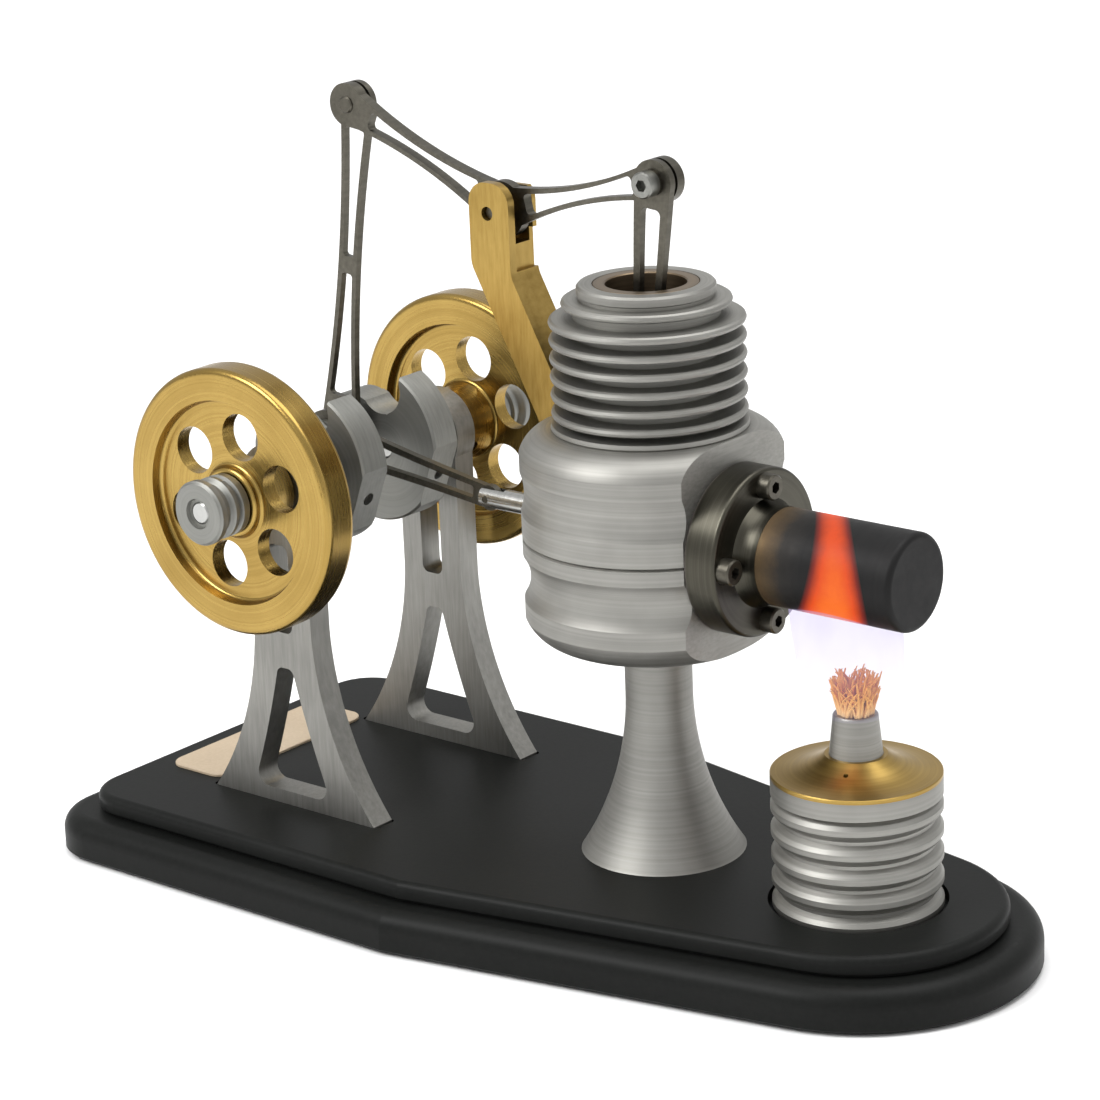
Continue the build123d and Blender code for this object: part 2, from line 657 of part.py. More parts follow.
# ---------------------------------------------------------------- hot end
def flange_screw_places(x):
    places = []
    for k in range(4):
        a = pi / 2 * k
        y = FLANGE_SCREW_PCR * cos(a)
        z = TUBE_Z + FLANGE_SCREW_PCR * sin(a)
        places.append(along((x, y, z), (1, 0, 0)))
    return places


def hot_flange():
    x0 = FLAT_X + GASKET_THICK
    flange = tube_x(x0, FLANGE_FACE_X, FLANGE_R)
    flange = fillet(flange.edges().filter_by(GeomType.CIRCLE).sort_by(Axis.X)[-1], 0.8)
    tip = TUBE_R + FIT + 0.06
    flare = make_face(Wire([
        Line((FLANGE_FACE_X - 1, 0), (FLANGE_FACE_X - 1, 11.65)),
        Line((FLANGE_FACE_X - 1, 11.65), (FLANGE_FACE_X, 11.65)),
        ThreePointArc((FLANGE_FACE_X, 11.65), (FLANGE_FACE_X + 2.0, 10.75), (FLANGE_FACE_X + 4.8, tip)),
        Line((FLANGE_FACE_X + 4.8, tip), (FLANGE_FACE_X + 4.8, 0)),
        Line((FLANGE_FACE_X + 4.8, 0), (FLANGE_FACE_X - 1, 0)),
    ]))
    flange += Pos(0, 0, TUBE_Z) * revolve(flare, Axis.X)
    flange -= tube_x(x0 - 1, FLANGE_FACE_X + 6, TUBE_R + FIT)
    for place in flange_screw_places(x0 - 1):
        flange -= place * extrude(Circle(1.6), 12)
    return flange


def flange_gasket():
    gasket = tube_x(FLAT_X, FLAT_X + GASKET_THICK, FLANGE_R - 0.3, CHAMBER_R + 0.1)
    for place in flange_screw_places(FLAT_X - 1):
        gasket -= place * extrude(Circle(1.6), 3)
    return gasket


def hot_tube():
    tube = tube_x(FLAT_X + GASKET_THICK, TUBE_END_X, TUBE_R)
    tube = fillet(tube.edges().filter_by(GeomType.CIRCLE).sort_by(Axis.X)[-1], 1.3)
    return tube - tube_x(FLAT_X, TUBE_END_X - 1.2, TUBE_R - TUBE_WALL)


def flange_screws():
    screw = cap_screw(2.75, 3.0, 1.5, 15.5)
    return Compound(children=[place * screw for place in flange_screw_places(FLANGE_FACE_X)])


def displacer_gland():
    gland = tube_x(GLAND_POCKET_X - 0.6, CHAMBER_X0, 4.0, ROD_R + RUN)
    return chamfer(gland.edges().filter_by(GeomType.CIRCLE).sort_by(Axis.X)[0], 0.3)


# ---------------------------------------------------------------- displacer and its link
def displacer():
    can = tube_x(DISPLACER_X0, DISPLACER_X1, DISPLACER_R)
    return fillet(can.edges().filter_by(GeomType.CIRCLE), 1.2)


def displacer_rod():
    return tube_x(FORK_X + 8.3, DISPLACER_X0, ROD_R)


def rod_end():
    """Slotted end of the displacer rod that takes the link."""
    end = tube_x(FORK_X - 2.3, FORK_X + 8.3, ROD_R)
    end = chamfer(end.edges().filter_by(GeomType.CIRCLE).sort_by(Axis.X)[0], 0.4)
    gap = LINK_Y1 - LINK_Y0 + 0.4
    end -= Pos(FORK_X, (LINK_Y0 + LINK_Y1) / 2, TUBE_Z) * Box(8.8, gap, 10)
    return end - tube_y(FORK_X, TUBE_Z, 0.8 + FIT, -5, 5)


def clevis_pin():
    return tube_y(FORK_X, TUBE_Z, 0.8, -2.1, 2.1)


def displacer_link():
    """Thin steel wishbone from the crank pin to the displacer rod."""
    a, b = (pin_x, pin_z), (FORK_X, TUBE_Z)
    face = waisted_arm(a, b, 4.9, 2.55, 2.7, 0.86, 1.3, 7.6, 4.6)
    face += Pos(*a) * Circle(6.0)
    face += Pos(*b) * Circle(2.9)
    face -= Pos(*a) * Circle(4.0 + FIT)
    face -= Pos(*b) * Circle(0.8 + RUN)
    return plate_xz(face, LINK_Y0, LINK_Y1)


def link_bearing():
    return tube_y(pin_x, pin_z, 4.0, LINK_Y0 - 1.2, LINK_Y1 + 0.6, PIN_R + FIT)


def link_journal():
    return tube_y(pin_x, pin_z, PIN_R, LINK_Y0 - 1.6, LINK_Y1 + 0.8)


# ---------------------------------------------------------------- balance beam
def beam():
    """Steel bell-crank plate with open struts, bent upwards at the pivot."""
    p, left, right = (PIVOT_X, PIVOT_Z), (LEFT_X, LEFT_Z), (RIGHT_X, RIGHT_Z)
    face = waisted_arm(p, left, 5.2, 4.4, 2.35, 0.56, 1.05, 7.6, 7.2)
    face += waisted_arm(p, right, 5.2, 4.5, 2.2, 0.46, 1.05, 6.9, 7.4)
    face += Pos(*p) * Circle(BEAM_HUB_R)
    face += Pos(*left) * Circle(HUB_R)
    face += Pos(*right) * Circle(HUB_R)
    face -= Pos(*p) * Circle(3.0 + FIT)
    face -= Pos(*left) * Circle(PIVOT_PIN_R + FIT)
    face -= Pos(*right) * Circle(PIVOT_PIN_R + FIT)
    return plate_xz(face, BEAM_Y0, BEAM_Y1)


def beam_bush():
    return tube_y(PIVOT_X, PIVOT_Z, 3.0, CLEVIS_Y0 + RUN, CLEVIS_Y1 - RUN, PIVOT_PIN_R + RUN)


def beam_rod_pin():
    """Riveted pin with a low domed head that joins beam and beam rod."""
    end = BEAM_ROD_Y1 + RUN
    pin = tube_y(LEFT_X, LEFT_Z, PIVOT_PIN_R, BEAM_Y0, end)
    head = tube_y(LEFT_X, LEFT_Z, 1.9, BEAM_Y0 - 0.5, BEAM_Y0)
    head = chamfer(head.edges().filter_by(GeomType.CIRCLE).sort_by(Axis.Y)[0], 0.3)
    tail = tube_y(LEFT_X, LEFT_Z, 2.8, end, end + 0.9)
    tail = chamfer(tail.edges().filter_by(GeomType.CIRCLE).sort_by(Axis.Y)[-1], 0.4)
    spacer = tube_y(LEFT_X, LEFT_Z, 2.6, BEAM_Y1, BEAM_ROD_Y0 - RUN)
    return pin + head + tail + spacer


def piston_rod_screw():
    screw = cap_screw(2.8, 2.9, PIVOT_PIN_R, 7.0)
    return Pos(RIGHT_X, PISTON_ROD_Y0 - 0.8, RIGHT_Z) * Rot(90, 0, 0) * screw


def pivot_washers():
    front = tube_y(RIGHT_X, RIGHT_Z, 2.7, PISTON_ROD_Y0 - 0.8, PISTON_ROD_Y0 - RUN, PIVOT_PIN_R + FIT)
    middle = tube_y(RIGHT_X, RIGHT_Z, 2.7, PISTON_ROD_Y1 + RUN, BEAM_Y0, PIVOT_PIN_R + FIT)
    return Compound(children=[front, middle])


def pivot_nut():
    plane = Plane(origin=(RIGHT_X, BEAM_Y1, RIGHT_Z), x_dir=(1, 0, 0), z_dir=(0, 1, 0))
    nut = extrude(plane * RegularPolygon(2.75, 6, major_radius=False), 1.5)
    return nut - tube_y(RIGHT_X, RIGHT_Z, PIVOT_PIN_R + FIT, BEAM_Y1 - 1, BEAM_Y1 + 4)


# ---------------------------------------------------------------- rods and power piston
def beam_rod():
    """Long thin rod from the beam down to the crank pin, slotted twice about its waist."""
    a, b = (LEFT_X, LEFT_Z), (pin_x, pin_z)
    length = hypot(b[0] - a[0], b[1] - a[1])
    waist_t = 0.485
    ra, rb, waist = 4.6, 5.6, 2.75
    outer = [
        Line(between(a, b, 0, ra), between(a, b, 0, -ra)),
        ThreePointArc(between(a, b, 0, -ra), between(a, b, waist_t, -waist), between(a, b, 1, -rb)),
        Line(between(a, b, 1, -rb), between(a, b, 1, rb)),
        ThreePointArc(between(a, b, 1, rb), between(a, b, waist_t, waist), between(a, b, 0, ra)),
    ]
    face = make_face(Wire(outer))
    ends = ((6.0 / length, waist_t - 0.026, 2.9, 1.5), (waist_t + 0.026, 1 - 8.6 / length, 1.5, 3.4))
    for t0, t1, w0, w1 in ends:
        mid = (t0 + t1) / 2
        wm = (w0 + w1) / 2 - 0.3
        window = make_face(Wire([
            Line(between(a, b, t0, w0), between(a, b, t0, -w0)),
            ThreePointArc(between(a, b, t0, -w0), between(a, b, mid, -wm), between(a, b, t1, -w1)),
            Line(between(a, b, t1, -w1), between(a, b, t1, w1)),
            ThreePointArc(between(a, b, t1, w1), between(a, b, mid, wm), between(a, b, t0, w0)),
        ]))
        face -= fillet(window.vertices(), 0.8)
    face += Pos(*a) * Circle(HUB_R)
    face += Pos(*b) * Circle(6.0)
    face -= Pos(*a) * Circle(PIVOT_PIN_R + RUN)
    face -= Pos(*b) * Circle(4.0 + FIT)
    return plate_xz(face, BEAM_ROD_Y0, BEAM_ROD_Y1)


def beam_rod_bearing():
    return tube_y(pin_x, pin_z, 4.0, BEAM_ROD_Y0 - 1.2, BEAM_ROD_Y1 + 0.2, PIN_R + FIT)


def beam_rod_journal():
    return tube_y(pin_x, pin_z, PIN_R, LINK_Y1 + 1.0, BEAM_ROD_Y1 + 0.5)


def piston_rod():
    """Wishbone rod from the beam down to the wrist pin."""
    a, b = (RIGHT_X, RIGHT_Z), (CYL_X, WRIST_Z)
    length = hypot(b[0] - a[0], b[1] - a[1])
    outer = [
        Line(between(a, b, 0, 4.7), between(a, b, 0, -4.7)),
        ThreePointArc(between(a, b, 0, -4.7), between(a, b, 0.36, -4.0), between(a, b, 0.92, -2.4)),
        Line(between(a, b, 0.92, -2.4), between(a, b, 0.92, 2.4)),
        ThreePointArc(between(a, b, 0.92, 2.4), between(a, b, 0.36, 4.0), between(a, b, 0, 4.7)),
    ]
    face = make_face(Wire(outer))
    t0, t1 = 5.6 / length, 1 - 10.5 / length
    window = make_face(Wire([
        Line(between(a, b, t0, 2.45), between(a, b, t0, -2.45)),
        ThreePointArc(between(a, b, t0, -2.45), between(a, b, 0.38, -2.2), between(a, b, t1, -1.4)),
        Line(between(a, b, t1, -1.4), between(a, b, t1, 1.4)),
        ThreePointArc(between(a, b, t1, 1.4), between(a, b, 0.38, 2.2), between(a, b, t0, 2.45)),
    ]))
    face -= fillet(window.vertices(), 1.3)
    face += Pos(*a) * Circle(HUB_R)
    face += Pos(*b) * Circle(4.4)
    face -= Pos(*a) * Circle(PIVOT_PIN_R + RUN)
    face -= Pos(*b) * Circle(1.5 + FIT)
    return plate_xz(face, PISTON_ROD_Y0, PISTON_ROD_Y1)


def power_piston():
    """Trunk piston, open at the top for the rod."""
    piston = tube_z(CYL_X, 0, WRIST_Z - 7.5, WRIST_Z + 6.5, BORE_R - RUN)
    piston = chamfer(piston.edges().filter_by(GeomType.CIRCLE), 0.4)
    piston -= tube_z(CYL_X, 0, WRIST_Z - 5.0, WRIST_Z + 7, 6.9)
    return piston


def wrist_pin():
    return tube_y(CYL_X, WRIST_Z, 1.5, -5.4, 5.4)


# ---------------------------------------------------------------- burner
def burner_can():
    """Ribbed aluminium can for the fuel."""
    r = BURNER_R
    points = [(0, BURNER_Z0), (RIB_R - 1.6, BURNER_Z0)]
    for k in range(RIB_COUNT):
        z = RIB_Z + RIB_PITCH * k
        points += [(RIB_R - 1.6, z - 2.3), (RIB_R - 0.6, z - 1.5), (RIB_R, z - 0.6), (RIB_R, z + 0.6),
                   (RIB_R - 0.6, z + 1.5), (RIB_R - 1.6, z + 2.3)]
    points += [(r, RIB_Z + RIB_PITCH * (RIB_COUNT - 1) + 2.7), (r, BURNER_TOP),
               (r - 3.4, BURNER_TOP), (r - 3.4, BURNER_Z0 + 2.0), (0, BURNER_Z0 + 2.0)]
    return turned_z(points, BURNER_X)


def burner_cap():
    """Brass lid that sweeps up to the wick tube, with a spigot that sits in the can."""
    r, z = BURNER_R, BURNER_TOP
    rim = z + LID_EDGE
    bore = 4.02
    section = make_face(Wire([
        Line((bore, z), (r, z)),
        Line((r, z), (r, rim - 0.2)),
        Line((r, rim - 0.2), (r - 0.2, rim)),
        Line((r - 0.2, rim), (r - 0.6, rim)),
        ThreePointArc((r - 0.6, rim), (11.4, rim + 1.1), (BOSS_R, BOSS_TOP)),
        Line((BOSS_R, BOSS_TOP), (bore, BOSS_TOP)),
        Line((bore, BOSS_TOP), (bore, z)),
    ]))
    lid = Pos(BURNER_X, 0, 0) * revolve(Plane.XZ * section, Axis.Z)
    spigot = tube_z(BURNER_X, 0, z - 2.2, z, r - 3.5, r - 4.7)
    vent = tube_z(BURNER_X + 3.4, -8.6, z - 1, BOSS_TOP, 0.5)
    return lid + spigot - vent


def wick_tube():
    """Tapered tube that carries the wick through the lid."""
    z0 = BOSS_TOP
    low = BURNER_TOP - 4.1
    points = [(3.2, low), (4.0, low), (4.0, z0), (5.7, z0), (5.6, z0 + 0.4), (4.75, WICK_TUBE_TOP - 0.3),
              (4.5, WICK_TUBE_TOP), (3.2, WICK_TUBE_TOP)]
    return turned_z(points, BURNER_X)


def wick():
    """Bundle of cotton strands that ends in a spread tuft."""
    top = WICK_TUBE_TOP
    strand = tube_z(BURNER_X, 0, BURNER_Z0 + 3, top + 0.5, 3.15)
    tuft = turned_z([(0, top + 0.4), (3.6, top + 0.4), (6.0, top + 6.5), (5.2, top + 9.6), (0, top + 10.5)],
                    BURNER_X)
    return strand + tuft


# ---------------------------------------------------------------- output
PARTS = {
    "base": base, "base_feet": base_feet, "name_plate": name_plate,
    "stand_near": stand_near, "stand_far": lambda: mirrored(stand_near()),
    "stand_screws": stand_screws, "bearing_outer_rings": bearing_outer_rings,
    "bearing_balls": bearing_balls, "pedestal": pedestal, "pedestal_screw": pedestal_screw,
    "pedestal_stud": pedestal_stud, "engine_body": engine_body,
    "finned_cylinder": finned_cylinder, "cylinder_liner": cylinder_liner,
    "support_column": support_column, "column_set_screw": column_set_screw,
    "beam_pivot_pin": beam_pivot_pin, "hot_flange": hot_flange,
    "flange_gasket": flange_gasket, "hot_tube": hot_tube, "flange_screws": flange_screws,
    "displacer_gland": displacer_gland,
    "crank_shaft_near": crank_shaft_near, "crank_shaft_far": lambda: mirrored(crank_shaft_near()),
    "crank_web_near": crank_web_near, "crank_web_far": lambda: mirrored(crank_web_near()),
    "web_set_screws": web_set_screws, "crank_pin_stubs": crank_pin_stubs,
    "shaft_spacers": shaft_spacers, "bearing_inner_rings": bearing_inner_rings,
    "flywheel_near": flywheel_near, "flywheel_far": lambda: mirrored(flywheel_near()),
    "flywheel_set_screws": flywheel_set_screws,
    "pulley_near": pulley_near, "pulley_far": lambda: mirrored(pulley_near()),
    "pulley_set_screws": pulley_set_screws,
    "beam": beam, "beam_bush": beam_bush, "beam_rod_pin": beam_rod_pin,
    "piston_rod_screw": piston_rod_screw, "pivot_washers": pivot_washers, "pivot_nut": pivot_nut,
    "beam_rod": beam_rod, "beam_rod_bearing": beam_rod_bearing, "beam_rod_journal": beam_rod_journal,
    "piston_rod": piston_rod, "power_piston": power_piston, "wrist_pin": wrist_pin,
    "displacer": displacer, "displacer_rod": displacer_rod, "rod_end": rod_end,
    "clevis_pin": clevis_pin, "displacer_link": displacer_link, "link_bearing": link_bearing,
    "link_journal": link_journal,
    "burner_can": burner_can, "burner_cap": burner_cap, "wick_tube": wick_tube, "wick": wick,
}


os.makedirs("parts", exist_ok=True)
for name, make in PARTS.items():
    export_step(make(), f"parts/{name}.step")
    print(name)
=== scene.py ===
"""Looks, floor, light and camera for the balance-beam hot-air engine."""
import math
import random

import bmesh
import bpy
from mathutils import Matrix, Vector

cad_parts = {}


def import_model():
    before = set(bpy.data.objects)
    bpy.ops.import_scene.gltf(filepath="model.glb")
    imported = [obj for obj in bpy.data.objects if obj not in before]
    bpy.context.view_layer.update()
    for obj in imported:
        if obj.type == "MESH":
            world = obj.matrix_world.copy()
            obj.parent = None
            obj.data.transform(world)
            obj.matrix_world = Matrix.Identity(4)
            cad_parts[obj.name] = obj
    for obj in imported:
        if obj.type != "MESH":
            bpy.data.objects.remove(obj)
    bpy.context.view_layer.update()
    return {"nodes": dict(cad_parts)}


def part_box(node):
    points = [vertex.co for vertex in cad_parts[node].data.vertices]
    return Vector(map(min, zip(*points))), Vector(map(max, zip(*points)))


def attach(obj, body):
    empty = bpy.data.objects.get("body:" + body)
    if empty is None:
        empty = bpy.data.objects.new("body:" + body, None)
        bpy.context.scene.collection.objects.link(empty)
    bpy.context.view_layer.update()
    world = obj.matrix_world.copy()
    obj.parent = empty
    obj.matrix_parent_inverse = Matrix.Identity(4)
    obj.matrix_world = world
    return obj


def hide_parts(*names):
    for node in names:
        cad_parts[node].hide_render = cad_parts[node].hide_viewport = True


MM = 0.001
CRANK_AXIS = (-59.05 * MM, 0.0, 89.6 * MM)
CYLINDER_AXIS = (24.92 * MM, 0.0, 0.0)
TUBE_AXIS = (0.0, 0.0, 86.2 * MM)
BURNER_AXIS = (76.3 * MM, 0.0, 0.0)
TUBE_BOTTOM = 75.8 * MM
TUBE_WIDE = 20.8 * MM
GLOW_X = 70.6 * MM
GLOW_SHIFT = 0.8 * MM
GLOW_HALF = 9.4 * MM
GLOW_TAPER = 5.0 * MM
GLOW_TWIST = 0.75
GLOW_STRENGTH = 1.0

STRAND_COUNT = 170
STRAND_SIDES = 6
STRAND_STEPS = 9
STRAND_SEED = 4
FLAME_PROFILE = [(0.0, 6.6), (0.05, 8.8), (0.13, 10.2), (0.3, 11.2), (0.6, 12.2), (0.85, 13.0), (1.15, 13.4)]
FLAME_SIDES = 48
FLAME_SHIFT = 2.2 * MM
FLAME_FLATTEN = 0.42
FLOOR_HALF = 40.0

CAMERA_PLACE = (485.24 * MM, -580.21 * MM, 317.96 * MM)
CAMERA_AZIMUTH = 40.146
CAMERA_ELEVATION = 17.628
CAMERA_ROLL = -2.391
CAMERA_LENS = 119.7


# ---------------------------------------------------------------- node helpers
class Nodes:
    """A material's node tree with short ways to add what the materials share."""

    def __init__(self, name):
        self.material = bpy.data.materials.new(name)
        self.material.use_nodes = True
        self.tree = self.material.node_tree
        self.shader = self.tree.nodes["Principled BSDF"]

    def add(self, kind, **values):
        node = self.tree.nodes.new(kind)
        for key, value in values.items():
            setattr(node, key, value)
        return node

    def link(self, source, target):
        self.tree.links.new(source, target)

    def feed(self, socket, value):
        if isinstance(value, (int, float, tuple)):
            socket.default_value = value
        else:
            self.link(value, socket)

    def math(self, operation, a, b=0.0, clamp=False):
        node = self.add("ShaderNodeMath", operation=operation, use_clamp=clamp)
        self.feed(node.inputs[0], a)
        self.feed(node.inputs[1], b)
        return node.outputs[0]

    def position(self, scale=(1, 1, 1), origin=(0, 0, 0)):
        """Object coordinates in metres, moved to an origin and stretched."""
        coords = self.add("ShaderNodeTexCoord")
        moved = self.add("ShaderNodeVectorMath", operation="SUBTRACT")
        self.link(coords.outputs["Object"], moved.inputs[0])
        moved.inputs[1].default_value = origin
        scaled = self.add("ShaderNodeVectorMath", operation="MULTIPLY")
        self.link(moved.outputs[0], scaled.inputs[0])
        scaled.inputs[1].default_value = scale
        return scaled.outputs[0]

    def lathe(self, origin, axis, fineness):
        """Coordinates that are constant round a turning axis: radius and length along it."""
        split = self.add("ShaderNodeSeparateXYZ")
        self.link(self.position(origin=origin), split.inputs[0])
        across = [split.outputs[k] for k in range(3) if k != "xyz".index(axis)]
        squares = [self.math("MULTIPLY", side, side) for side in across]
        radius = self.math("SQRT", self.math("ADD", *squares))
        joined = self.add("ShaderNodeCombineXYZ")
        self.link(self.math("MULTIPLY", radius, fineness), joined.inputs[0])
        self.link(self.math("MULTIPLY", split.outputs["xyz".index(axis)], fineness), joined.inputs[1])
        return joined.outputs[0]

    def noise(self, vector, scale, detail=3.0, rough=0.55):
        node = self.add("ShaderNodeTexNoise")
        node.inputs["Scale"].default_value = scale
        node.inputs["Detail"].default_value = detail
        node.inputs["Roughness"].default_value = rough
        self.link(vector, node.inputs["Vector"])
        return node.outputs[0]

    def ramp(self, value, stops):
        node = self.add("ShaderNodeValToRGB")
        elements = node.color_ramp.elements
        while len(elements) < len(stops):
            elements.new(0.5)
        for element, (place, colour) in zip(elements, stops):
            element.position = place
            element.color = (*colour, 1.0)
        self.link(value, node.inputs[0])
        return node.outputs[0]

    def spread(self, value, low, high):
        node = self.add("ShaderNodeMapRange")
        node.inputs["To Min"].default_value = low
        node.inputs["To Max"].default_value = high
        self.link(value, node.inputs["Value"])
        return node.outputs[0]

    def mix(self, factor, a, b, blend="MIX"):
        node = self.add("ShaderNodeMix", data_type="RGBA", blend_type=blend)
        self.feed(node.inputs[0], factor)
        self.feed(node.inputs[6], a if not isinstance(a, tuple) else (*a, 1.0))
        self.feed(node.inputs[7], b if not isinstance(b, tuple) else (*b, 1.0))
        return node.outputs[2]

    def bump(self, height, strength, distance):
        node = self.add("ShaderNodeBump")
        node.inputs["Strength"].default_value = strength
        node.inputs["Distance"].default_value = distance
        self.link(height, node.inputs["Height"])
        self.link(node.outputs[0], self.shader.inputs["Normal"])


# ---------------------------------------------------------------- materials
def metal(name, dark, light, rough, vector_of, grain=1.0, relief=0.00002, strength=0.25):
    """Metal with a fine tool-mark grain, larger soft tone patches and uneven gloss."""
    n = Nodes(name)
    grain_noise = n.noise(vector_of(n), grain, 4.0, 0.6)
    patches = n.noise(n.position(), 55.0, 3.0)
    tone = n.math("ADD", n.math("MULTIPLY", grain_noise, 0.55), n.math("MULTIPLY", patches, 0.45))
    n.link(n.ramp(tone, [(0.3, dark), (0.7, light)]), n.shader.inputs["Base Color"])
    n.shader.inputs["Metallic"].default_value = 1.0
    gloss = n.math("ADD", n.math("MULTIPLY", grain_noise, 0.6), n.math("MULTIPLY", patches, 0.4))
    n.link(n.spread(gloss, rough[0], rough[1]), n.shader.inputs["Roughness"])
    n.bump(grain_noise, strength, relief)
    return n.material


def turned(origin, axis, fineness=1400.0):
    return lambda n: n.lathe(origin, axis, fineness)


def brushed(scale):
    return lambda n: n.position(scale)


def black_base():
    """Satin black coating with a fine orange-peel texture and faint dust."""
    n = Nodes("black_base")
    fine = n.noise(n.position(), 900.0, 4.0, 0.6)
    broad = n.noise(n.position(), 18.0, 4.0)
    tone = n.math("ADD", n.math("MULTIPLY", fine, 0.5), n.math("MULTIPLY", broad, 0.5))
    n.link(n.ramp(tone, [(0.3, (0.004, 0.0045, 0.004)), (0.7, (0.009, 0.0095, 0.0088))]),
           n.shader.inputs["Base Color"])
    n.link(n.spread(tone, 0.36, 0.56), n.shader.inputs["Roughness"])
    n.shader.inputs["Specular IOR Level"].default_value = 0.12
    n.bump(fine, 0.22, 0.00006)
    return n.material


def burnt_tube():
    """Blackened steel, straw and brown by the flange, glowing where the flame plays on it."""
    n = Nodes("burnt_tube")
    split = n.add("ShaderNodeSeparateXYZ")
    n.link(n.position(), split.inputs[0])
    x, y, z = split.outputs
    soot = n.noise(n.position(), 240.0, 5.0, 0.65)
    rings = n.noise(n.lathe(TUBE_AXIS, "x", 900.0), 1.0, 3.0)
    along = n.math("MULTIPLY", n.math("SUBTRACT", x, 54.0 * MM), 1 / (16.0 * MM))
    along = n.math("ADD", along, n.math("MULTIPLY", n.math("SUBTRACT", soot, 0.5), 0.25), clamp=True)
    tint = n.ramp(along, [(0.0, (0.22, 0.16, 0.07)), (0.35, (0.11, 0.07, 0.032)), (0.7, (0.022, 0.02, 0.018)),
                          (1.0, (0.009, 0.009, 0.0095))])
    n.link(n.mix(n.math("MULTIPLY", rings, 0.35), tint, (0.03, 0.028, 0.026)), n.shader.inputs["Base Color"])
    n.shader.inputs["Metallic"].default_value = 0.75
    n.link(n.spread(soot, 0.42, 0.68), n.shader.inputs["Roughness"])
    height = n.math("MULTIPLY", n.math("SUBTRACT", z, TUBE_BOTTOM), 1 / TUBE_WIDE)
    half = n.math("SUBTRACT", GLOW_HALF, n.math("MULTIPLY", height, GLOW_TAPER))
    centre = n.math("ADD", GLOW_X, n.math("MULTIPLY", height, GLOW_SHIFT))
    centre = n.math("SUBTRACT", centre, n.math("MULTIPLY", y, GLOW_TWIST))
    off = n.math("DIVIDE", n.math("ABSOLUTE", n.math("SUBTRACT", x, centre)), half)
    heat = n.math("SUBTRACT", 1.0, n.math("MULTIPLY", off, off), clamp=True)
    heat = n.math("MULTIPLY", heat, n.math("SUBTRACT", 1.15, n.math("MULTIPLY", height, 0.55)))
    heat = n.math("MULTIPLY", heat, n.spread(soot, 0.75, 1.15), clamp=True)
    colour = n.ramp(heat, [(0.0, (0.0, 0.0, 0.0)), (0.25, (0.22, 0.012, 0.002)), (0.6, (0.80, 0.075, 0.004)),
                           (1.0, (1.0, 0.18, 0.012))])
    n.link(colour, n.shader.inputs["Emission Color"])
    n.shader.inputs["Emission Strength"].default_value = GLOW_STRENGTH
    n.bump(soot, 0.2, 0.00004)
    return n.material


def plain_plastic(name, dark, light, rough, scale, relief=0.00003):
    n = Nodes(name)
    fine = n.noise(n.position(), scale, 5.0, 0.6)
    broad = n.noise(n.position(), 60.0, 3.0)
    tone = n.math("ADD", n.math("MULTIPLY", fine, 0.5), n.math("MULTIPLY", broad, 0.5))
    n.link(n.ramp(tone, [(0.3, dark), (0.7, light)]), n.shader.inputs["Base Color"])
    n.link(n.spread(fine, rough[0], rough[1]), n.shader.inputs["Roughness"])
    n.bump(fine, 0.2, relief)
    return n.material


def cotton():
    """Frayed wick cotton, scorched brown towards the tips."""
    n = Nodes("cotton_strands")
    split = n.add("ShaderNodeSeparateXYZ")
    n.link(n.position(), split.inputs[0])
    fibre = n.noise(n.position((1, 1, 0.15)), 2600.0, 4.0, 0.7)
    height = n.math("MULTIPLY", n.math("SUBTRACT", split.outputs[2], 55.0 * MM), 1 / (10.0 * MM))
    tone = n.math("ADD", n.math("MULTIPLY", height, 0.75), n.math("MULTIPLY", fibre, 0.35), clamp=True)
    n.link(n.ramp(tone, [(0.0, (0.80, 0.60, 0.38)), (0.5, (0.86, 0.44, 0.07)), (1.0, (0.82, 0.34, 0.03))]),
           n.shader.inputs["Base Color"])
    n.link(n.spread(fibre, 0.75, 0.95), n.shader.inputs["Roughness"])
    n.bump(fibre, 0.5, 0.0001)
    return n.material


ALUMINIUM = ((0.22, 0.215, 0.20), (0.36, 0.355, 0.33))
GREY = ((0.19, 0.19, 0.175), (0.29, 0.29, 0.27))
BRASS = ((0.26, 0.165, 0.042), (0.44, 0.30, 0.09))
STEEL = ((0.065, 0.060, 0.048), (0.135, 0.126, 0.104))
DARK = ((0.045, 0.042, 0.033), (0.095, 0.09, 0.072))
BRIGHT = ((0.34, 0.34, 0.33), (0.52, 0.52, 0.5))


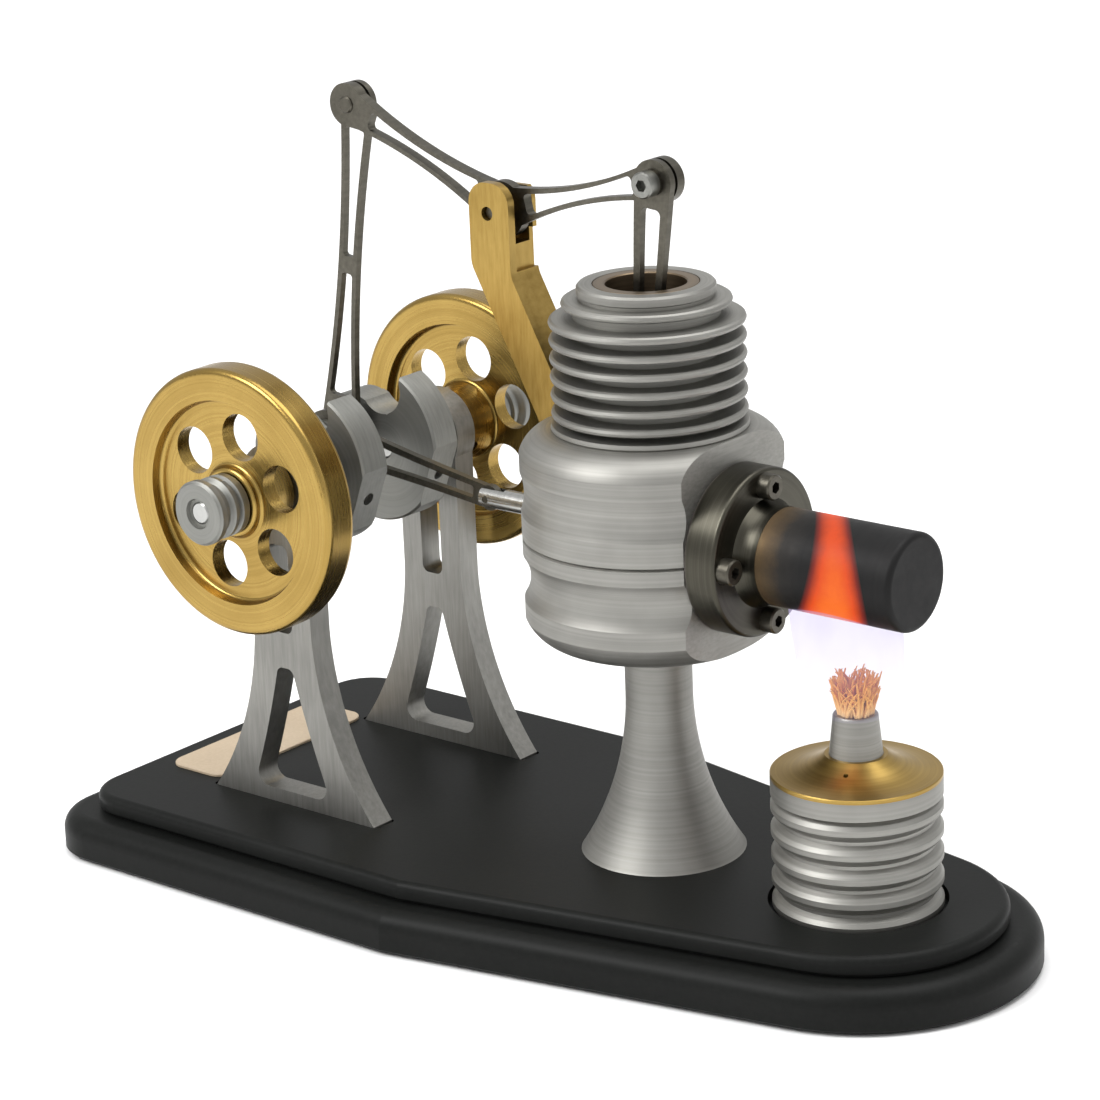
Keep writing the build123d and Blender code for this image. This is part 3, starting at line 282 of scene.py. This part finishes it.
def paint_nodes(nodes):
    """Give every CAD node the material that suits its metal and how it was made."""
    on_crank = turned(CRANK_AXIS, "y")
    on_cylinder = turned(CYLINDER_AXIS, "z")
    on_tube = turned(TUBE_AXIS, "x")
    on_burner = turned(BURNER_AXIS, "z")
    flat = brushed((900, 60, 900))
    upright = brushed((1500, 900, 90))
    any_way = brushed((700, 700, 700))
    looks = [
        (metal("wheel_brass", *BRASS, (0.20, 0.34), on_crank), ["flywheel_near", "flywheel_far"]),
        (metal("column_brass", *BRASS, (0.26, 0.42), brushed((1400, 500, 160))), ["support_column"]),
        (metal("lid_brass", *BRASS, (0.28, 0.42), on_burner), ["burner_cap"]),
        (metal("bush_brass", *BRASS, (0.25, 0.4), any_way), ["beam_bush", "displacer_gland"]),
        (metal("body_aluminium", *ALUMINIUM, (0.46, 0.60), on_cylinder),
         ["engine_body", "finned_cylinder", "pedestal"]),
        (metal("can_aluminium", *ALUMINIUM, (0.42, 0.55), on_burner), ["burner_can", "wick_tube"]),
        (metal("stand_aluminium", *ALUMINIUM, (0.45, 0.60), upright, relief=0.00004), ["stand_near", "stand_far"]),
        (metal("web_aluminium", *GREY, (0.44, 0.58), on_crank),
         ["crank_web_near", "crank_web_far", "pulley_near", "pulley_far", "shaft_spacers"]),
        (metal("shaft_steel", *BRIGHT, (0.26, 0.38), on_crank),
         ["crank_shaft_near", "crank_shaft_far", "bearing_outer_rings", "bearing_inner_rings", "bearing_balls",
          "crank_pin_stubs"]),
        (metal("rod_steel", *STEEL, (0.30, 0.44), flat),
         ["beam", "beam_rod", "piston_rod", "displacer_link", "beam_rod_pin", "pivot_washers", "pivot_nut",
          "beam_pivot_pin", "beam_rod_journal", "link_journal", "wrist_pin", "clevis_pin"]),
        (metal("bearing_steel", *GREY, (0.28, 0.4), any_way), ["beam_rod_bearing", "link_bearing"]),
        (metal("bright_rod", *BRIGHT, (0.2, 0.32), on_tube), ["displacer_rod", "rod_end", "displacer"]),
        (metal("flange_screw_steel", *STEEL, (0.34, 0.46), any_way), ["flange_screws"]),
        (metal("screw_steel", *GREY, (0.28, 0.4), any_way),
         ["piston_rod_screw", "stand_screws", "pedestal_screw", "pedestal_stud",
          "column_set_screw", "web_set_screws", "flywheel_set_screws", "pulley_set_screws"]),
        (metal("flange_steel", *DARK, (0.26, 0.42), on_tube), ["hot_flange"]),
        (metal("liner_steel", (0.13, 0.095, 0.06), (0.25, 0.19, 0.125), (0.34, 0.48), on_cylinder),
         ["cylinder_liner"]),
        (metal("piston_iron", (0.03, 0.03, 0.03), (0.09, 0.09, 0.09), (0.35, 0.5), on_cylinder), ["power_piston"]),
        (black_base(), ["base"]),
        (burnt_tube(), ["hot_tube"]),
        (plain_plastic("foot_rubber", (0.012, 0.012, 0.012), (0.03, 0.03, 0.03), (0.7, 0.9), 1500.0), ["base_feet"]),
        (plain_plastic("plate_beige", (0.40, 0.31, 0.21), (0.52, 0.42, 0.30), (0.45, 0.6), 1200.0), ["name_plate"]),
        (plain_plastic("gasket_fibre", (0.05, 0.045, 0.04), (0.12, 0.1, 0.085), (0.7, 0.9), 1800.0),
         ["flange_gasket"]),
        (cotton(), ["wick"]),
    ]
    for material, names in looks:
        for name in names:
            data = nodes[name].data
            data.materials.clear()
            data.materials.append(material)
    painted = {name for _, names in looks for name in names}
    missing = set(nodes) - painted
    if missing:
        raise RuntimeError(f"no look for {sorted(missing)}")
    return {material.name: material for material, _ in looks}


# ---------------------------------------------------------------- added pieces
def wick_tuft(material):
    """Loose cotton strands that rise out of the wick tube and curl outwards."""
    rng = random.Random(STRAND_SEED)
    low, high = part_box("wick")
    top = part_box("wick_tube")[1].z
    centre = (low + high) / 2
    mesh = bpy.data.meshes.new("wick_strands")
    form = bmesh.new()
    reach = (high.x - low.x) / 2
    bundle = reach * 0.62
    for _ in range(STRAND_COUNT):
        turn = rng.uniform(0, 2 * math.pi)
        start = bundle * math.sqrt(rng.random()) * 0.9
        length = (high.z - top) * rng.uniform(0.55, 0.98)
        lean = rng.uniform(0.25, 1.0) * (reach * 0.94 - start)
        twist = rng.uniform(-1.2, 1.2)
        thick = rng.uniform(0.26, 0.42) * MM
        rings = []
        for k in range(STRAND_STEPS + 1):
            t = k / STRAND_STEPS
            around = turn + twist * t * t
            out = start + lean * t ** 1.7
            z = top - 4 * MM + (length + 4 * MM) * (t - 0.10 * t ** 3)
            spot = Vector((centre.x + out * math.cos(around), centre.y + out * math.sin(around), z))
            size = thick * (1 - 0.55 * t ** 3)
            rings.append([form.verts.new(spot + Vector((size * math.cos(a), size * math.sin(a), 0)))
                          for a in (2 * math.pi * s / STRAND_SIDES for s in range(STRAND_SIDES))])
        for below, above in zip(rings, rings[1:]):
            for s in range(STRAND_SIDES):
                after = (s + 1) % STRAND_SIDES
                form.faces.new((below[s], below[after], above[after], above[s]))
        form.faces.new(list(reversed(rings[0])))
        form.faces.new(rings[-1])
    form.to_mesh(mesh)
    form.free()
    tuft = bpy.data.objects.new("wick_strands", mesh)
    bpy.context.scene.collection.objects.link(tuft)
    for face in mesh.polygons:
        face.use_smooth = True
    mesh.materials.append(material)
    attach(tuft, "burner")
    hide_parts("wick")


# ---------------------------------------------------------------- stage
def floor():
    """Wide pale sheet with a soft paper grain."""
    mesh = bpy.data.meshes.new("floor")
    half = FLOOR_HALF
    corners = [(-half, -half, 0), (half, -half, 0), (half, half, 0), (-half, half, 0)]
    mesh.from_pydata(corners, [], [(0, 1, 2, 3)])
    sheet = bpy.data.objects.new("floor", mesh)
    bpy.context.scene.collection.objects.link(sheet)
    n = Nodes("floor_paper")
    n.link(n.ramp(n.noise(n.position(), 30.0), [(0.3, (0.90, 0.90, 0.90)), (0.7, (0.93, 0.93, 0.93))]),
           n.shader.inputs["Base Color"])
    n.shader.inputs["Roughness"].default_value = 0.9
    away = n.add("ShaderNodeVectorMath", operation="LENGTH")
    n.link(n.position(), away.inputs[0])
    far = n.math("MULTIPLY", n.math("SUBTRACT", away.outputs["Value"], 0.35), 0.7, clamp=True)
    n.shader.inputs["Emission Color"].default_value = (1.0, 1.0, 1.0, 1.0)
    n.link(n.math("MULTIPLY", far, 0.45), n.shader.inputs["Emission Strength"])
    mesh.materials.append(n.material)


def flame():
    """Pale spirit flame between the wick and the tube, which is not part of the object."""
    top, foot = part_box("hot_tube")[0].z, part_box("wick_tube")[1].z
    form = bmesh.new()
    rings = []
    for t, radius in FLAME_PROFILE:
        z = foot + (top - foot) * t
        x = BURNER_AXIS[0] - FLAME_SHIFT * t
        deep = radius * (1 - FLAME_FLATTEN * t)
        rings.append([form.verts.new((x + radius * MM * math.cos(a), deep * MM * math.sin(a), z))
                      for a in (2 * math.pi * k / FLAME_SIDES for k in range(FLAME_SIDES))])
    for below, above in zip(rings, rings[1:]):
        for k in range(FLAME_SIDES):
            after = (k + 1) % FLAME_SIDES
            form.faces.new((below[k], below[after], above[after], above[k]))
    mesh = bpy.data.meshes.new("flame")
    form.to_mesh(mesh)
    form.free()
    for face in mesh.polygons:
        face.use_smooth = True
    plume = bpy.data.objects.new("flame", mesh)
    bpy.context.scene.collection.objects.link(plume)
    n = Nodes("flame_haze")
    haze = n.add("ShaderNodeEmission")
    haze.inputs["Color"].default_value = (0.60, 0.52, 0.82, 1.0)
    haze.inputs["Strength"].default_value = 0.85
    clear = n.add("ShaderNodeBsdfTransparent")
    blend = n.add("ShaderNodeMixShader")
    split = n.add("ShaderNodeSeparateXYZ")
    n.link(n.position(), split.inputs[0])
    rise = n.math("MULTIPLY", n.math("SUBTRACT", split.outputs[2], foot), 1 / (top - foot), clamp=True)
    patches = n.spread(n.noise(n.position((1, 1, 0.4)), 160.0, 2.0), 0.6, 1.2)
    n.link(n.math("MULTIPLY", patches, n.spread(rise, 0.09, 0.42)), blend.inputs[0])
    n.link(clear.outputs[0], blend.inputs[1])
    n.link(haze.outputs[0], blend.inputs[2])
    n.link(blend.outputs[0], n.tree.nodes["Material Output"].inputs["Surface"])
    mesh.materials.append(n.material)


def softbox(name, place, target, size, power):
    data = bpy.data.lights.new(name, "AREA")
    data.shape = "RECTANGLE"
    data.size, data.size_y = size
    data.energy = power
    light = bpy.data.objects.new(name, data)
    bpy.context.scene.collection.objects.link(light)
    aim = Vector(target) - Vector(place)
    light.matrix_world = Matrix.Translation(place) @ aim.to_track_quat("-Z", "Y").to_matrix().to_4x4()


def lights():
    middle = (0.0, 0.0, 0.08)
    softbox("key", (-0.35, -0.75, 0.85), middle, (0.5, 0.5), 9.0)
    softbox("top", (0.15, 0.15, 1.1), middle, (0.9, 0.9), 9.0)
    softbox("side", (0.95, 0.2, 0.55), middle, (0.3, 0.6), 0.5)
    world = bpy.data.worlds.new("studio")
    bpy.context.scene.world = world
    world.use_nodes = True
    tree = world.node_tree
    coords = tree.nodes.new("ShaderNodeTexCoord")
    split = tree.nodes.new("ShaderNodeSeparateXYZ")
    ramp = tree.nodes.new("ShaderNodeValToRGB")
    tree.links.new(coords.outputs["Generated"], split.inputs[0])
    tree.links.new(split.outputs[2], ramp.inputs[0])
    tree.links.new(ramp.outputs[0], tree.nodes["Background"].inputs[0])
    first, last = ramp.color_ramp.elements
    first.position, first.color = 0.0, (0.95, 0.95, 0.95, 1)
    last.position, last.color = 0.8, (1.0, 1.0, 1.0, 1)
    tree.nodes["Background"].inputs[1].default_value = 0.75
    bpy.context.scene.view_settings.view_transform = "Standard"


def camera():
    azimuth, elevation, roll = (math.radians(a) for a in (CAMERA_AZIMUTH, CAMERA_ELEVATION, CAMERA_ROLL))
    ahead = Vector((-math.sin(azimuth) * math.cos(elevation), math.cos(azimuth) * math.cos(elevation),
                    -math.sin(elevation)))
    level = Vector((math.cos(azimuth), math.sin(azimuth), 0))
    above = level.cross(ahead)
    right = level * math.cos(roll) + above * math.sin(roll)
    up = -level * math.sin(roll) + above * math.cos(roll)
    data = bpy.data.cameras.new("camera")
    data.sensor_width = 36.0
    data.lens = CAMERA_LENS
    data.clip_start = 0.01
    eye = bpy.data.objects.new("camera", data)
    bpy.context.scene.collection.objects.link(eye)
    turn = Matrix((right, up, -ahead)).transposed().to_4x4()
    eye.matrix_world = Matrix.Translation(CAMERA_PLACE) @ turn
    bpy.context.scene.camera = eye


def main():
    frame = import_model()
    materials = paint_nodes(frame["nodes"])
    wick_tuft(materials["cotton_strands"])
    floor()
    flame()
    lights()
    camera()


main()
